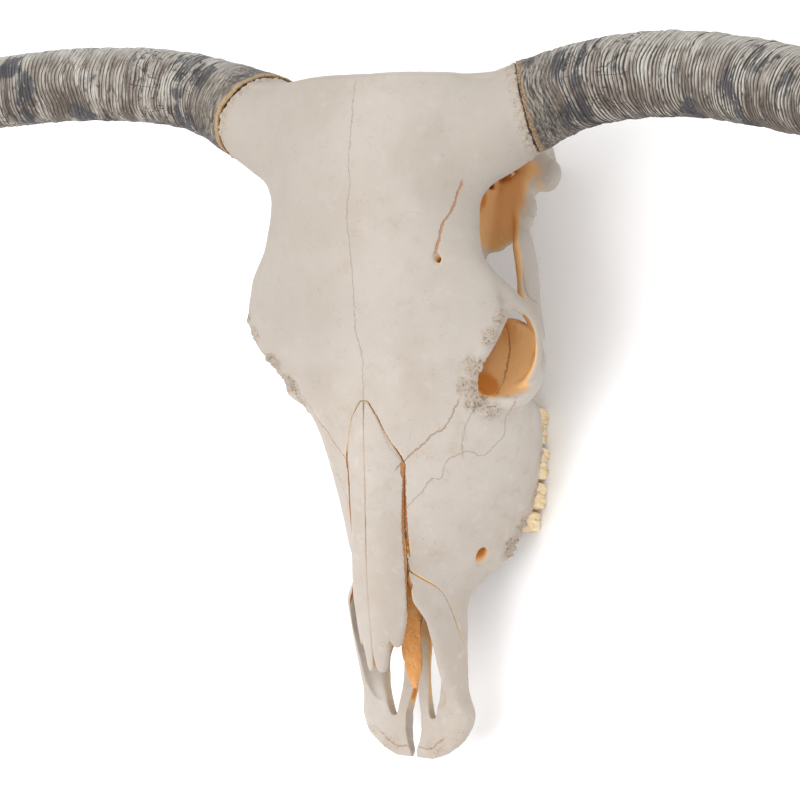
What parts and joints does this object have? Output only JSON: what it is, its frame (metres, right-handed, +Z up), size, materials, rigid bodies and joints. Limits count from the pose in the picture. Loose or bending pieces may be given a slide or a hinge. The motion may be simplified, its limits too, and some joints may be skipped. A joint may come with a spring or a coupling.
{
  "type": "cow skull",
  "caption": "Weathered cow skull with both horn sheaths, resting on its cheek teeth; muzzle, nasal bones and horns are separate pieces.",
  "frame": {"origin": "on the ground at the middle of the box round the whole skull and horns, where the skull rests on its cheek teeth and jugular processes", "axes": "+X to the skull's left, -Y towards the muzzle, +Z up"},
  "size_m": [1.0212, 0.5256, 0.3579],
  "materials": {
    "bone": "dry weathered cream bone, matte, with pores, cracks and tan staining in the hollows",
    "horn": "weathered grey and brown horn with dense growth rings and flakes, satin where worn"
  },
  "bodies": {
    "root": {"cranium": "bone", "nasal_left": "bone", "nasal_right": "bone", "incisive_left": "bone", "incisive_right": "bone", "horn_left": "horn", "horn_right": "horn"}
  },
  "joints": []
}
